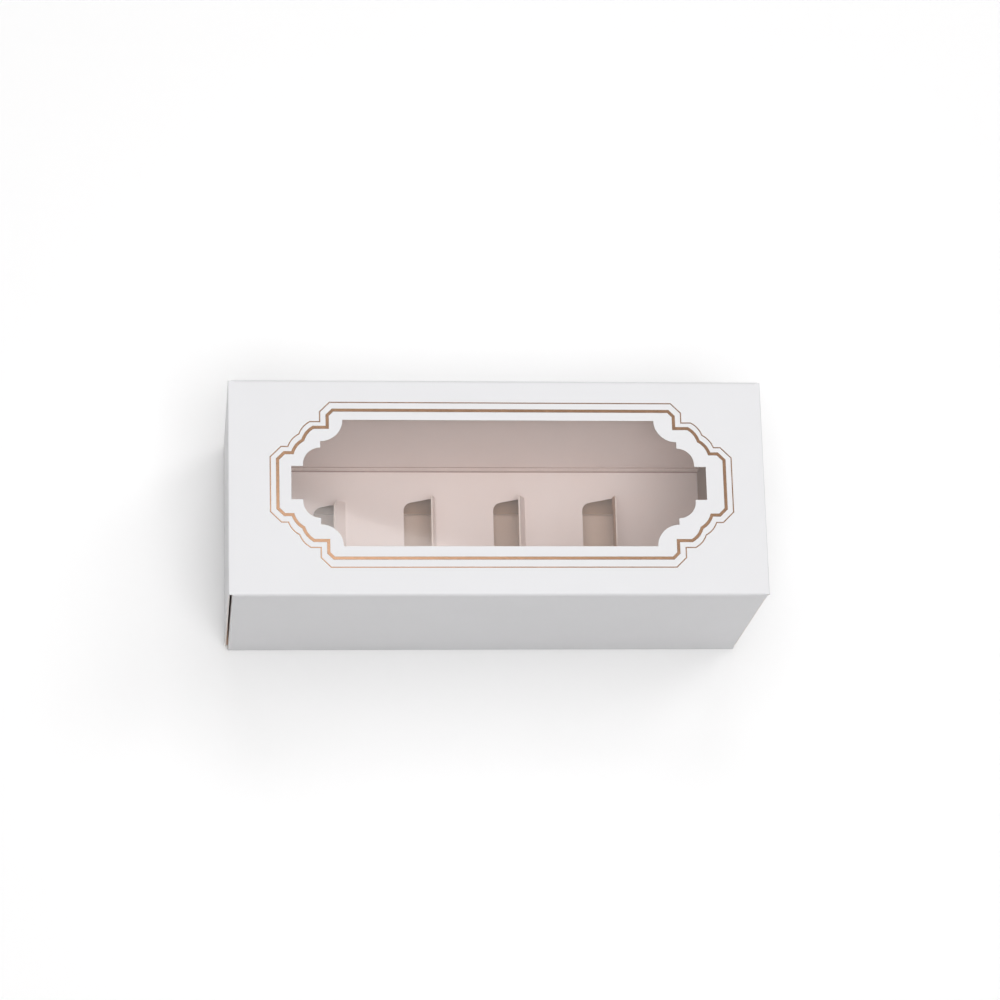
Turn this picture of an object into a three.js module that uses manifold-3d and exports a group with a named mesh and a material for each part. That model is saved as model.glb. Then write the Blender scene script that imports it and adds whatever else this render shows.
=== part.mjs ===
// Macaron box: a white tuck-end carton with a shaped window, foil lines and a folded insert.
//
// Millimetres, +Z up. The box stands on its bottom panel at z = 0, its length runs along X,
// and its front panel faces -Y. Every piece is folded board, so each is a thin sheet bent
// along creases, except the clear film behind the window and the two foil lines.

import * as THREE from 'three';
import * as BufferGeometryUtils from 'three/addons/utils/BufferGeometryUtils.js';
import Module from 'manifold-3d';

const wasm = await Module();
wasm.setup();

// Driving dimensions of the carton
const BOX_LENGTH = 180;
const BOX_DEPTH = 75;
const BOX_HEIGHT = 75;
const BOARD = 0.5;
const CREASE_RADIUS = 1.2;
const FREE_GAP = 0.3;

// End closures: a panel hinged on the top panel, with a tuck flap along its lower edge
const LEFT_CLOSURE_GAP = 0.7;
const CLOSURE_SIDE_GAP = 0.5;
const CLOSURE_EASE = new THREE.Vector2(0.8, 5);
const CLOSURE_FLOOR_GAP = 0.8;
const TUCK_FLAP_LENGTH = 11;
const TUCK_FLAP_SLOPE = 6.8;
const TUCK_FLAP_CORNER = 6;
const TUCK_FLAP_SIDE_GAP = 1.4;

// Dust flaps: folded in from the ends of the front and back panels
const DUST_FLAP_REACH = 24;
const DUST_FLAP_BOTTOM = 5;
const DUST_FLAP_TOP = 71;
const DUST_FLAP_TAPER = 6;
const DUST_FLAP_CORNER = 4;

// Shaped window in the top panel: a scallop, a small step and a round shoulder at each corner
const WINDOW = {
  centre: new THREE.Vector2(0.6, 1.45),
  halfLength: 69.65,
  halfDepth: 21.95,
  scallopRadius: 7.5,
  stepDrop: 2.25,
  shoulderRadius: 5.8,
  shoulderLip: 0.6,
  earLength: 3.9,
};

// Foil lines: the same outline drawn twice around the window, a fine one and a broad one
const FOIL_THICKNESS = 0.05;
const FOIL_BULGE = 0.55;
const OUTER_FOIL = {
  centre: new THREE.Vector2(1.5, 0.9),
  lineWidth: 0.4,
  halfLength: 77.5,
  halfDepth: 28.6,
  cornerCut: 3.3,
  drop: 3.5,
  run: 3.3,
  sweep: new THREE.Vector2(7.4, 8.7),
  earRun: 2.3,
  earCut: 3.6,
};
const INNER_FOIL = {
  centre: new THREE.Vector2(1.5, 1.1),
  lineWidth: 1.1,
  halfLength: 75.05,
  halfDepth: 25.67,
  cornerCut: 1.8,
  drop: 4.25,
  run: 4.7,
  sweep: new THREE.Vector2(7.0, 8.9),
  earRun: 2.75,
  earCut: 2.2,
};

// Clear film glued under the top panel
const FILM_THICKNESS = 0.2;
const FILM_HALF_LENGTH = 77;
const FILM_HALF_DEPTH = 30;
const FILM_CORNER = 3;

// Insert: one sheet folded into a raised trough
const INSERT_LENGTH = 156;
const INSERT_BASE_TOP = 8.5;
const INSERT_BASE_HALF_WIDTH = 25.8;
const INSERT_RISER_HEIGHT = 5;
const INSERT_KNEE = new THREE.Vector2(0.2, 9);
const INSERT_TOP_LEDGE = 1.45;
const INSERT_FOOT_REACH = 25;
const INSERT_FOOT_SPRING = 1.1;
const INSERT_BEND_RADIUS = 0.45;
const INSERT_SIDE_GAP = 0.3;

// Tabs cut from the insert's base and bent up, left to right, each leaning back from upright
const TAB_PITCH = 31.7;
const TAB_HEIGHT = 11.2;
const TAB_TAPER = 2.2;
const TAB_CORNER = 3;
const TABS = [
  { halfWidth: 14, lean: 22 },
  { halfWidth: 15.8, lean: 9.5 },
  { halfWidth: 15.8, lean: 14.5 },
  { halfWidth: 15.8, lean: 2 },
];

// Colours of the materials
const BOARD_WHITE = 0xf1f1f3;
const INSERT_WHITE = 0xf0ebe8;
const FOIL_GOLD = 0xb98a62;
const FILM_CLEAR = 0xf4f6f7;

const CUT_MARGIN = 1;
const ARC_STEPS = 6;
const WINDOW_ARC_STEPS = 12;
const FULL_TURN = 2 * Math.PI;

// The planes that the pieces share
const halfDepth = BOX_DEPTH / 2;
const sideInner = halfDepth - BOARD;
const topInner = BOX_HEIGHT - BOARD;
const closureOuterX = BOX_LENGTH / 2;
const hingeX = closureOuterX - BOARD;
const hingeZ = topInner;
const sleeveRight = hingeX - FREE_GAP;
const sleeveLeft = LEFT_CLOSURE_GAP - hingeX;

// Turns that lay a flat drawing into a plane of the box, thickness along the third axis
const X_AXIS = new THREE.Vector3(1, 0, 0);
const Y_AXIS = new THREE.Vector3(0, 1, 0);
const Z_AXIS = new THREE.Vector3(0, 0, 1);
const CROSS_SECTION = new THREE.Matrix4().makeBasis(Y_AXIS, Z_AXIS, X_AXIS);
const SIDE_VIEW = new THREE.Matrix4().makeBasis(X_AXIS, Z_AXIS, Y_AXIS.clone().negate());

function radians(degrees) {
  return (degrees * FULL_TURN) / 360;
}

// A closed mesh of triangles as a solid that can be cut and joined
function solidFromGeometry(geometry) {
  const bare = geometry.clone();
  bare.deleteAttribute('normal');
  bare.deleteAttribute('uv');
  const merged = BufferGeometryUtils.mergeVertices(bare, 1e-5);
  return new wasm.Manifold(new wasm.Mesh({
    numProp: 3,
    vertProperties: new Float32Array(merged.attributes.position.array),
    triVerts: new Uint32Array(merged.index.array),
  }));
}

function geometryFromSolid(solid) {
  const mesh = solid.getMesh();
  const geometry = new THREE.BufferGeometry();
  geometry.setAttribute('position', new THREE.BufferAttribute(mesh.vertProperties, mesh.numProp));
  geometry.setIndex(new THREE.BufferAttribute(mesh.triVerts, 1));
  geometry.computeVertexNormals();
  return geometry;
}

function extrude(shape, thickness) {
  return new THREE.ExtrudeGeometry(shape, { depth: thickness, bevelEnabled: false, steps: 1 });
}

// Points of an arc, from one angle to another in degrees, both ends included
function arcPoints(centreX, centreY, radius, fromDegrees, toDegrees, steps) {
  const points = [];
  for (let i = 0; i <= steps; i += 1) {
    const angle = radians(fromDegrees + ((toDegrees - fromDegrees) * i) / steps);
    points.push(new THREE.Vector2(
      centreX + radius * Math.cos(angle),
      centreY + radius * Math.sin(angle),
    ));
  }
  return points;
}

function roundedRectangle(left, bottom, right, top, radius, steps) {
  return [
    ...arcPoints(right - radius, bottom + radius, radius, -90, 0, steps),
    ...arcPoints(right - radius, top - radius, radius, 0, 90, steps),
    ...arcPoints(left + radius, top - radius, radius, 90, 180, steps),
    ...arcPoints(left + radius, bottom + radius, radius, 180, 270, steps),
  ];
}

// A path with each corner between its two ends turned into a short arc
function roundCorners(points, radius, steps) {
  const rounded = [];
  points.forEach((corner, i) => {
    if (i === 0 || i === points.length - 1) {
      rounded.push(corner.clone());
      return;
    }
    const before = points[i - 1].clone().sub(corner).normalize();
    const after = points[i + 1].clone().sub(corner).normalize();
    const halfAngle = Math.acos(THREE.MathUtils.clamp(before.dot(after), -1, 1)) / 2;
    const reach = radius / Math.tan(halfAngle);
    const start = corner.clone().addScaledVector(before, reach);
    const end = corner.clone().addScaledVector(after, reach);
    const centre = corner.clone().addScaledVector(
      before.clone().add(after).normalize(),
      radius / Math.sin(halfAngle),
    );
    const from = start.clone().sub(centre);
    const turn = Math.PI - 2 * halfAngle;
    const side = Math.sign(from.cross(end.clone().sub(centre)));
    for (let k = 0; k <= steps; k += 1) {
      rounded.push(start.clone().rotateAround(centre, (side * turn * k) / steps));
    }
  });
  return rounded;
}

// The line beside a path, at a distance to its left, with mitred corners
function besidePath(points, distance, closed) {
  const count = points.length;
  return points.map((point, i) => {
    const hasBefore = closed || i > 0;
    const hasAfter = closed || i < count - 1;
    const before = hasBefore ? point.clone().sub(points[(i + count - 1) % count]).normalize() : null;
    const after = hasAfter ? points[(i + 1) % count].clone().sub(point).normalize() : null;
    const first = before ?? after;
    const second = after ?? before;
    const normal = new THREE.Vector2(-first.y - second.y, first.x + second.x).normalize();
    const stretch = normal.dot(new THREE.Vector2(-first.y, first.x));
    return point.clone().addScaledVector(normal, distance / stretch);
  });
}

// The section of a folded sheet: a path along its middle, given a thickness
function sheetSection(path, thickness) {
  const left = besidePath(path, thickness / 2, false);
  const right = besidePath(path, -thickness / 2, false);
  return new THREE.Shape([...left, ...right.reverse()]);
}

// A closed outline, counter-clockwise, from its first quadrant as drawn from top edge to right side
function mirroredLoop(quadrant, centre) {
  const flip = (points, sx, sy) => points.map((p) => new THREE.Vector2(p.x * sx, p.y * sy));
  const loop = [
    ...flip(quadrant, 1, 1),
    ...flip([...quadrant].reverse(), 1, -1),
    ...flip(quadrant, -1, -1),
    ...flip([...quadrant].reverse(), -1, 1),
  ];
  return loop.map((p) => p.add(centre)).reverse();
}

function windowLoop(window) {
  const shoulderX = window.halfLength - window.earLength;
  const stepX = shoulderX - window.shoulderRadius;
  const stepY = window.halfDepth - window.scallopRadius - window.stepDrop;
  const shoulderY = stepY - window.shoulderRadius;
  const quadrant = [
    ...arcPoints(stepX, window.halfDepth, window.scallopRadius, 180, 270, WINDOW_ARC_STEPS),
    ...arcPoints(stepX, shoulderY, window.shoulderRadius, 90, 0, WINDOW_ARC_STEPS),
    new THREE.Vector2(shoulderX, shoulderY - window.shoulderLip),
    new THREE.Vector2(window.halfLength, shoulderY - window.shoulderLip),
  ];
  return mirroredLoop(quadrant, window.centre);
}

// The slanting part of a foil line: two shallow arcs that meet in a cusp
function cuspedSweep(start, end) {
  const middle = start.clone().add(end).multiplyScalar(0.5);
  const points = [];
  [[start, middle], [middle, end]].forEach(([from, to]) => {
    const chord = to.clone().sub(from);
    const outward = new THREE.Vector2(-chord.y, chord.x).normalize();
    for (let k = 0; k < ARC_STEPS; k += 1) {
      const share = k / ARC_STEPS;
      const lift = 4 * FOIL_BULGE * share * (1 - share);
      points.push(from.clone().addScaledVector(chord, share).addScaledVector(outward, lift));
    }
  });
  points.push(end.clone());
  return points;
}

function foilLoop(foil) {
  const earX = foil.halfLength - foil.earCut;
  const sweepEndX = earX - foil.earRun;
  const sweepStartX = sweepEndX - foil.sweep.x;
  const dropX = sweepStartX - foil.run;
  const dropY = foil.halfDepth - foil.cornerCut;
  const sweepStartY = dropY - foil.drop;
  const sweepEndY = sweepStartY - foil.sweep.y;
  const quadrant = [
    new THREE.Vector2(dropX - foil.cornerCut, foil.halfDepth),
    new THREE.Vector2(dropX, dropY),
    new THREE.Vector2(dropX, sweepStartY),
    ...cuspedSweep(
      new THREE.Vector2(sweepStartX, sweepStartY),
      new THREE.Vector2(sweepEndX, sweepEndY),
    ),
    new THREE.Vector2(earX, sweepEndY),
    new THREE.Vector2(foil.halfLength, sweepEndY - foil.earCut),
  ];
  return mirroredLoop(quadrant, foil.centre);
}

function makeFoilLine(foil) {
  const loop = foilLoop(foil);
  const shape = new THREE.Shape(besidePath(loop, -foil.lineWidth / 2, true));
  shape.holes.push(new THREE.Path(besidePath(loop, foil.lineWidth / 2, true)));
  return extrude(shape, FOIL_THICKNESS).translate(0, 0, BOX_HEIGHT);
}

function makeFilm() {
  const outline = roundedRectangle(
    -FILM_HALF_LENGTH,
    -FILM_HALF_DEPTH,
    FILM_HALF_LENGTH,
    FILM_HALF_DEPTH,
    FILM_CORNER,
    ARC_STEPS,
  );
  return extrude(new THREE.Shape(outline), FILM_THICKNESS).translate(0, 0, topInner - FILM_THICKNESS);
}

// A dust flap at one end of the front or back panel, in the plane just inside the sleeve's end
function dustFlap(endSign, sideSign) {
  const hingeY = sideSign * sideInner;
  const rootY = sideSign * (sideInner + BOARD / 2);
  const freeY = sideSign * (sideInner - DUST_FLAP_REACH);
  const corners = [
    new THREE.Vector2(rootY, DUST_FLAP_BOTTOM),
    new THREE.Vector2(hingeY, DUST_FLAP_BOTTOM),
    new THREE.Vector2(freeY, DUST_FLAP_BOTTOM + DUST_FLAP_TAPER),
    new THREE.Vector2(freeY, DUST_FLAP_TOP - DUST_FLAP_TAPER),
    new THREE.Vector2(hingeY, DUST_FLAP_TOP),
    new THREE.Vector2(rootY, DUST_FLAP_TOP),
  ];
  const free = roundCorners(corners.slice(1, 5), DUST_FLAP_CORNER, ARC_STEPS);
  const outline = [corners[0], ...free, corners[5]];
  const flap = extrude(new THREE.Shape(outline), BOARD).applyMatrix4(CROSS_SECTION);
  const innerX = endSign > 0 ? sleeveRight - BOARD : sleeveLeft;
  return solidFromGeometry(flap.translate(innerX, 0, 0));
}

function makeSleeve() {
  const section = new THREE.Shape(
    roundedRectangle(-halfDepth, 0, halfDepth, BOX_HEIGHT, CREASE_RADIUS, ARC_STEPS),
  );
  section.holes.push(new THREE.Path(roundedRectangle(
    -sideInner,
    BOARD,
    sideInner,
    topInner,
    CREASE_RADIUS - BOARD,
    ARC_STEPS,
  )));
  const tube = extrude(section, sleeveRight - sleeveLeft)
    .applyMatrix4(CROSS_SECTION)
    .translate(sleeveLeft, 0, 0);
  const cutter = extrude(new THREE.Shape(windowLoop(WINDOW)), BOARD + 2 * CUT_MARGIN)
    .translate(0, 0, topInner - CUT_MARGIN);
  let sleeve = solidFromGeometry(tube).subtract(solidFromGeometry(cutter));
  [-1, 1].forEach((endSign) => {
    [-1, 1].forEach((sideSign) => {
      sleeve = sleeve.add(dustFlap(endSign, sideSign));
    });
  });
  return geometryFromSolid(sleeve);
}

// The left closure, in a frame whose origin is the hinge line: the panel hangs down along -Z
function closureSolid() {
  const panelFoot = -(hingeZ - CLOSURE_FLOOR_GAP - BOARD / 2);
  const flapDrop = TUCK_FLAP_LENGTH * Math.tan(radians(TUCK_FLAP_SLOPE));
  const middleX = -BOARD / 2;
  const path = roundCorners([
    new THREE.Vector2(middleX, -FREE_GAP),
    new THREE.Vector2(middleX, panelFoot),
    new THREE.Vector2(middleX + TUCK_FLAP_LENGTH, panelFoot + flapDrop),
  ], BOARD, ARC_STEPS);
  const crestHalfWidth = halfDepth - CLOSURE_SIDE_GAP;
  const easedHalfWidth = crestHalfWidth - CLOSURE_EASE.x;
  const width = 2 * crestHalfWidth;
  const bent = extrude(sheetSection(path, BOARD), width)
    .applyMatrix4(SIDE_VIEW)
    .translate(0, width / 2, 0);
  const flapHalfWidth = sideInner - TUCK_FLAP_SIDE_GAP;
  const cornerStart = TUCK_FLAP_LENGTH - TUCK_FLAP_CORNER;
  const plan = [
    new THREE.Vector2(-2 * BOARD, -halfDepth),
    new THREE.Vector2(BOARD, -halfDepth),
    new THREE.Vector2(2 * BOARD, -flapHalfWidth),
    ...arcPoints(cornerStart, -flapHalfWidth + TUCK_FLAP_CORNER, TUCK_FLAP_CORNER, -90, 0, ARC_STEPS),
    ...arcPoints(cornerStart, flapHalfWidth - TUCK_FLAP_CORNER, TUCK_FLAP_CORNER, 0, 90, ARC_STEPS),
    new THREE.Vector2(2 * BOARD, flapHalfWidth),
    new THREE.Vector2(BOARD, halfDepth),
    new THREE.Vector2(-2 * BOARD, halfDepth),
  ];
  const trim = extrude(new THREE.Shape(plan), 2 * BOX_HEIGHT).translate(0, 0, -1.5 * BOX_HEIGHT);
  // Seen from the end, the panel narrows a little below its crease, so that it closes easily
  const face = [
    new THREE.Vector2(crestHalfWidth, 0),
    new THREE.Vector2(-crestHalfWidth, 0),
    new THREE.Vector2(-easedHalfWidth, -CLOSURE_EASE.y),
    new THREE.Vector2(-easedHalfWidth, -BOX_HEIGHT),
    new THREE.Vector2(easedHalfWidth, -BOX_HEIGHT),
    new THREE.Vector2(easedHalfWidth, -CLOSURE_EASE.y),
  ];
  const ease = extrude(new THREE.Shape(face), BOX_HEIGHT)
    .applyMatrix4(CROSS_SECTION)
    .translate(-BOX_HEIGHT / 2, 0, 0);
  return solidFromGeometry(bent).intersect(solidFromGeometry(trim)).intersect(solidFromGeometry(ease));
}

// The middle line of the insert's section, from the middle of its base to a foot flap
function insertHalfPath() {
  const baseZ = INSERT_BASE_TOP - BOARD / 2;
  const legY = sideInner - INSERT_SIDE_GAP - BOARD / 2;
  const footZ = BOARD + FREE_GAP + BOARD / 2;
  const topZ = topInner - FILM_THICKNESS - 2 * FREE_GAP - BOARD / 2;
  return [
    new THREE.Vector2(INSERT_BASE_HALF_WIDTH, baseZ),
    new THREE.Vector2(INSERT_BASE_HALF_WIDTH, baseZ + INSERT_RISER_HEIGHT),
    new THREE.Vector2(INSERT_BASE_HALF_WIDTH + INSERT_KNEE.x, baseZ + INSERT_KNEE.y),
    new THREE.Vector2(legY - INSERT_TOP_LEDGE, topZ),
    new THREE.Vector2(legY, topZ),
    new THREE.Vector2(legY, footZ),
    new THREE.Vector2(legY - INSERT_FOOT_REACH, footZ + INSERT_FOOT_SPRING),
  ];
}

// A tab's outline as cut, from its root near the hinge line to its free edge towards -X
function tabOutline(rootX, halfWidth) {
  return new THREE.Shape(roundCorners([
    new THREE.Vector2(rootX, halfWidth),
    new THREE.Vector2(-TAB_HEIGHT, halfWidth - TAB_TAPER),
    new THREE.Vector2(-TAB_HEIGHT, TAB_TAPER - halfWidth),
    new THREE.Vector2(rootX, -halfWidth),
  ], TAB_CORNER, ARC_STEPS));
}

function makeInsert() {
  const half = insertHalfPath();
  const mirrored = half.map((p) => new THREE.Vector2(-p.x, p.y));
  const path = roundCorners([...mirrored.reverse(), ...half], INSERT_BEND_RADIUS, ARC_STEPS / 2);
  const folded = extrude(sheetSection(path, BOARD), INSERT_LENGTH)
    .applyMatrix4(CROSS_SECTION)
    .translate(-INSERT_LENGTH / 2, 0, 0);
  let insert = solidFromGeometry(folded);
  TABS.forEach(({ halfWidth, lean }, i) => {
    const hinge = (i - (TABS.length - 1) / 2) * TAB_PITCH;
    const opening = extrude(tabOutline(-BOARD / 2, halfWidth), BOARD + 2 * CUT_MARGIN)
      .translate(hinge, 0, INSERT_BASE_TOP - BOARD - CUT_MARGIN);
    const tab = extrude(tabOutline(BOARD, halfWidth), BOARD)
      .translate(0, 0, -BOARD)
      .rotateY(radians(90 - lean))
      .translate(hinge, 0, INSERT_BASE_TOP);
    insert = insert.subtract(solidFromGeometry(opening)).add(solidFromGeometry(tab));
  });
  return geometryFromSolid(insert);
}

const boardWhite = new THREE.MeshStandardMaterial({ color: BOARD_WHITE, roughness: 0.55, metalness: 0 });
const insertWhite = new THREE.MeshStandardMaterial({ color: INSERT_WHITE, roughness: 0.75, metalness: 0 });
const foilGold = new THREE.MeshStandardMaterial({ color: FOIL_GOLD, roughness: 0.3, metalness: 1 });
const filmClear = new THREE.MeshStandardMaterial({
  color: FILM_CLEAR,
  roughness: 0.05,
  metalness: 0,
  transparent: true,
  opacity: 0.2,
});

function addMesh(parent, name, geometry, material) {
  const mesh = new THREE.Mesh(geometry, material);
  mesh.name = name;
  parent.add(mesh);
  return mesh;
}

const box = new THREE.Group();
addMesh(box, 'sleeve', makeSleeve(), boardWhite);
addMesh(box, 'insert', makeInsert(), insertWhite);
addMesh(box, 'window_film', makeFilm(), filmClear);
addMesh(box, 'foil_outer_line', makeFoilLine(OUTER_FOIL), foilGold);
addMesh(box, 'foil_inner_line', makeFoilLine(INNER_FOIL), foilGold);

// Both closures are one shape: the right one is the left one turned half round
const closureGeometry = geometryFromSolid(closureSolid());
[['left_closure', 0, -1], ['right_closure', Math.PI, 1]].forEach(([name, turn, endSign]) => {
  const hinge = new THREE.Group();
  hinge.position.set(endSign * hingeX, 0, hingeZ);
  hinge.rotation.z = turn;
  addMesh(hinge, name, closureGeometry.clone(), boardWhite);
  box.add(hinge);
});

export default box;
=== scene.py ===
"""The looks of a macaron box: a white tuck-end carton with a shaped window and a folded insert."""

import logging
import math
from collections.abc import Sequence
from dataclasses import dataclass, field
from enum import Enum, IntEnum

import bmesh
import bpy
from mathutils import Euler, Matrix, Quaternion, Vector
from mathutils.geometry import tessellate_polygon
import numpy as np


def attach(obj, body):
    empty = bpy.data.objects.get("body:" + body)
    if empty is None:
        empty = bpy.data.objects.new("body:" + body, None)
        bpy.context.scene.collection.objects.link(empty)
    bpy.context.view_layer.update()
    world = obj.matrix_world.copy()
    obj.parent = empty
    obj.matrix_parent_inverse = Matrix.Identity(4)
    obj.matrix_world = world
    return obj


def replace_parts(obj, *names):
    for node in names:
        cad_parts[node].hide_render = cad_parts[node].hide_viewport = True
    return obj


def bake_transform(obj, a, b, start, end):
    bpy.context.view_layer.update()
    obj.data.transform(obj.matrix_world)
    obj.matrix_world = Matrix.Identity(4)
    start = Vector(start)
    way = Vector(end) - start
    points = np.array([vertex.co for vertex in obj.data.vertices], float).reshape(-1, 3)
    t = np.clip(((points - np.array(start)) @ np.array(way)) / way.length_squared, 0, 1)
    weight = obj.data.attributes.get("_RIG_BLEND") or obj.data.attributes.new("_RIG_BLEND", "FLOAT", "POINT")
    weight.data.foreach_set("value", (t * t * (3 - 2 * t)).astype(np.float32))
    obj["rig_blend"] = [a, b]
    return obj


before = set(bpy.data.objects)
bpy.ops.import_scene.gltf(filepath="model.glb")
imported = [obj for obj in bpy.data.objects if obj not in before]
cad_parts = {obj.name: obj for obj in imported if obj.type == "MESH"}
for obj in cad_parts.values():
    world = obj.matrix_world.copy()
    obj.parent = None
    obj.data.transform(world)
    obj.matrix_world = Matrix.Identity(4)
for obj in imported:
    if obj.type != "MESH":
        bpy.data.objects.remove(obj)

LOG = logging.getLogger("macaron_box")
MM = 0.001

# In millimetres: the board, the box that it makes, and the gap beside a part that is loose
BOARD = 0.5
BOX_HEIGHT = 75.0
HALF_DEPTH = 37.5
HALF_LENGTH = 90.0
FREE_GAP = 0.3

# Points of a sheet that are closer than this, in millimetres, become one
WELD = 0.002

# Edges that turn by more than this many degrees stay sharp
SHEET_SHARP_ANGLE = 35
SOLID_SHARP_ANGLE = 25

Point2 = tuple[float, float]
Point3 = tuple[float, float, float]
Rgba = tuple[float, float, float, float]


class Body(Enum):
    """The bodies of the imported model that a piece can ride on."""

    CARTON = "carton"
    LEFT_END = "left_end"
    RIGHT_END = "right_end"


class Slot(Enum):
    """The record's material slots for the pieces made here, which this script does not assign."""

    COATED_BOARD = "coated_board"
    INSERT_BOARD = "insert_board"
    GOLD_FOIL = "gold_foil"


class End(Enum):
    """An end of the carton, as the sign of its X."""

    LEFT = -1
    RIGHT = 1


class SheetSide(IntEnum):
    """The sides of a folded sheet, each as its place among the sheet's materials."""

    FACE = 0
    REVERSE = 1
    CUT_EDGE = 2
    # Crushed board in a crease, darker partly from crushed fibres and partly as painted shade
    SCORE_SHADE = 3


def linear(colour: str) -> Rgba:
    """Turns an sRGB colour to linear light.

    Args:
        colour: The colour as "#rrggbb".

    Returns:
        Red, green, blue and an alpha of 1, each from 0 to 1.
    """
    shares = [int(colour[i : i + 2], 16) / 255 for i in (1, 3, 5)]
    # The curve and its numbers are those of the sRGB standard
    red, green, blue = (
        s / 12.92 if s <= 0.04045 else ((s + 0.055) / 1.055) ** 2.4 for s in shares
    )
    return red, green, blue, 1.0


def add_node(
    tree: bpy.types.NodeTree,
    kind: str,
    settings: dict[str, object] | None = None,
    inputs: dict[str | int, object] | None = None,
) -> bpy.types.Node:
    """Adds a node with its settings and links.

    Args:
        tree: The node tree that it goes in.
        kind: The node's type name in Blender.
        settings: Values for the node's own properties.
        inputs: A value or an output socket for each input, by its name or number.

    Returns:
        The new node.
    """
    node = tree.nodes.new(kind)
    for name, value in (settings or {}).items():
        setattr(node, name, value)
    for key, value in (inputs or {}).items():
        if isinstance(value, bpy.types.NodeSocket):
            tree.links.new(value, node.inputs[key])
        else:
            node.inputs[key].default_value = value
    return node


def new_material(name: str) -> tuple[bpy.types.Material, bpy.types.NodeTree]:
    """Makes an empty node material.

    Args:
        name: The material's name.

    Returns:
        The material and its node tree, with no nodes in it.
    """
    material = bpy.data.materials.new(name)
    material.use_nodes = True
    material.node_tree.nodes.clear()
    return material, material.node_tree


def per_metre(size_mm: float) -> float:
    """Gives the scale of a pattern whose features are that many millimetres apart."""
    return 1 / (size_mm * MM)


@dataclass(frozen=True)
class CoatedBoard:
    """Bleached folding boxboard, clay coated and calendered, with a silky white face.

    The coating hides the fibres, so the eye gets an even cool white, a wide soft sheen, and
    a faint unevenness where the pulp below is thicker or thinner.
    """

    name: str = "coated_board"
    white: str = "#dedee0"
    thin_pulp: str = "#dbdbdd"
    roughness: Point2 = (0.38, 0.47)
    ior: float = 1.5
    cloud_mm: float = 14.0
    peel_mm: float = 1.6
    peel_depth_mm: float = 0.1
    # The coating's own grain is under 0.05 mm, too fine to show, so it is drawn coarser
    grain_mm: float = 0.35
    grain_depth_mm: float = 0.02

    def build(self) -> bpy.types.Material:
        """Makes the material.

        Returns:
            The material.
        """
        material, tree = new_material(self.name)
        place = add_node(tree, "ShaderNodeTexCoord").outputs["Object"]
        sizes = ((self.cloud_mm, 4.0), (self.peel_mm, 2.0), (self.grain_mm, 3.0))
        cloud, peel, grain = (
            add_node(
                tree,
                "ShaderNodeTexNoise",
                inputs={"Vector": place, "Scale": per_metre(size_mm), "Detail": detail},
            ).outputs["Fac"]
            for size_mm, detail in sizes
        )
        tone = add_node(
            tree,
            "ShaderNodeMix",
            {"data_type": "RGBA"},
            {"Factor": cloud, 6: linear(self.white), 7: linear(self.thin_pulp)},
        )
        coarse = add_node(
            tree,
            "ShaderNodeBump",
            inputs={"Height": peel, "Strength": 0.06, "Distance": self.peel_depth_mm * MM},
        )
        fine = add_node(
            tree,
            "ShaderNodeBump",
            inputs={
                "Height": grain,
                "Strength": 0.05,
                "Distance": self.grain_depth_mm * MM,
                "Normal": coarse.outputs["Normal"],
            },
        )
        gloss = add_node(
            tree,
            "ShaderNodeMapRange",
            inputs={"Value": peel, "To Min": self.roughness[0], "To Max": self.roughness[1]},
        )
        shader = add_node(
            tree,
            "ShaderNodeBsdfPrincipled",
            inputs={
                "Base Color": tone.outputs[2],
                "Roughness": gloss.outputs["Result"],
                "IOR": self.ior,
                "Normal": fine.outputs["Normal"],
            },
        )
        add_node(tree, "ShaderNodeOutputMaterial", inputs={"Surface": shader.outputs["BSDF"]})
        return material


@dataclass(frozen=True)
class UncoatedBoard:
    """The uncoated side of pulp board.

    With no coating the fibres scatter the light, so the eye gets a matt, warm tone with a
    fine fibre grain along the sheet.
    """

    name: str
    tone: str
    fibre: str
    roughness: float = 0.78
    ior: float = 1.48
    cloud_mm: float = 18.0
    # Real fibres are about 0.03 mm wide, too fine to show, so they are drawn coarser
    fibre_width_mm: float = 0.35
    fibre_length_mm: float = 3.0
    fibre_depth_mm: float = 0.03

    def build(self) -> bpy.types.Material:
        """Makes the material.

        Returns:
            The material.
        """
        material, tree = new_material(self.name)
        place = add_node(tree, "ShaderNodeTexCoord").outputs["Object"]
        cloud = add_node(
            tree,
            "ShaderNodeTexNoise",
            inputs={"Vector": place, "Scale": per_metre(self.cloud_mm), "Detail": 3.0},
        )
        fibre = (self.fibre_length_mm, self.fibre_width_mm, self.fibre_width_mm)
        along = add_node(
            tree,
            "ShaderNodeMapping",
            inputs={"Vector": place, "Scale": [per_metre(size) for size in fibre]},
        )
        fibres = add_node(
            tree,
            "ShaderNodeTexNoise",
            inputs={"Vector": along.outputs["Vector"], "Scale": 1.0, "Detail": 3.0},
        )
        both = add_node(
            tree,
            "ShaderNodeMath",
            {"operation": "MULTIPLY"},
            {0: cloud.outputs["Fac"], 1: fibres.outputs["Fac"]},
        )
        spread = add_node(
            tree,
            "ShaderNodeMapRange",
            inputs={"Value": both.outputs["Value"], "From Min": 0.1, "From Max": 0.4},
        )
        tone = add_node(
            tree,
            "ShaderNodeMix",
            {"data_type": "RGBA"},
            {"Factor": spread.outputs["Result"], 6: linear(self.tone), 7: linear(self.fibre)},
        )
        relief = add_node(
            tree,
            "ShaderNodeBump",
            inputs={
                "Height": fibres.outputs["Fac"],
                "Strength": 0.12,
                "Distance": self.fibre_depth_mm * MM,
            },
        )
        shader = add_node(
            tree,
            "ShaderNodeBsdfPrincipled",
            inputs={
                "Base Color": tone.outputs[2],
                "Roughness": self.roughness,
                "IOR": self.ior,
                "Normal": relief.outputs["Normal"],
            },
        )
        add_node(tree, "ShaderNodeOutputMaterial", inputs={"Surface": shader.outputs["BSDF"]})
        return material


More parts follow.
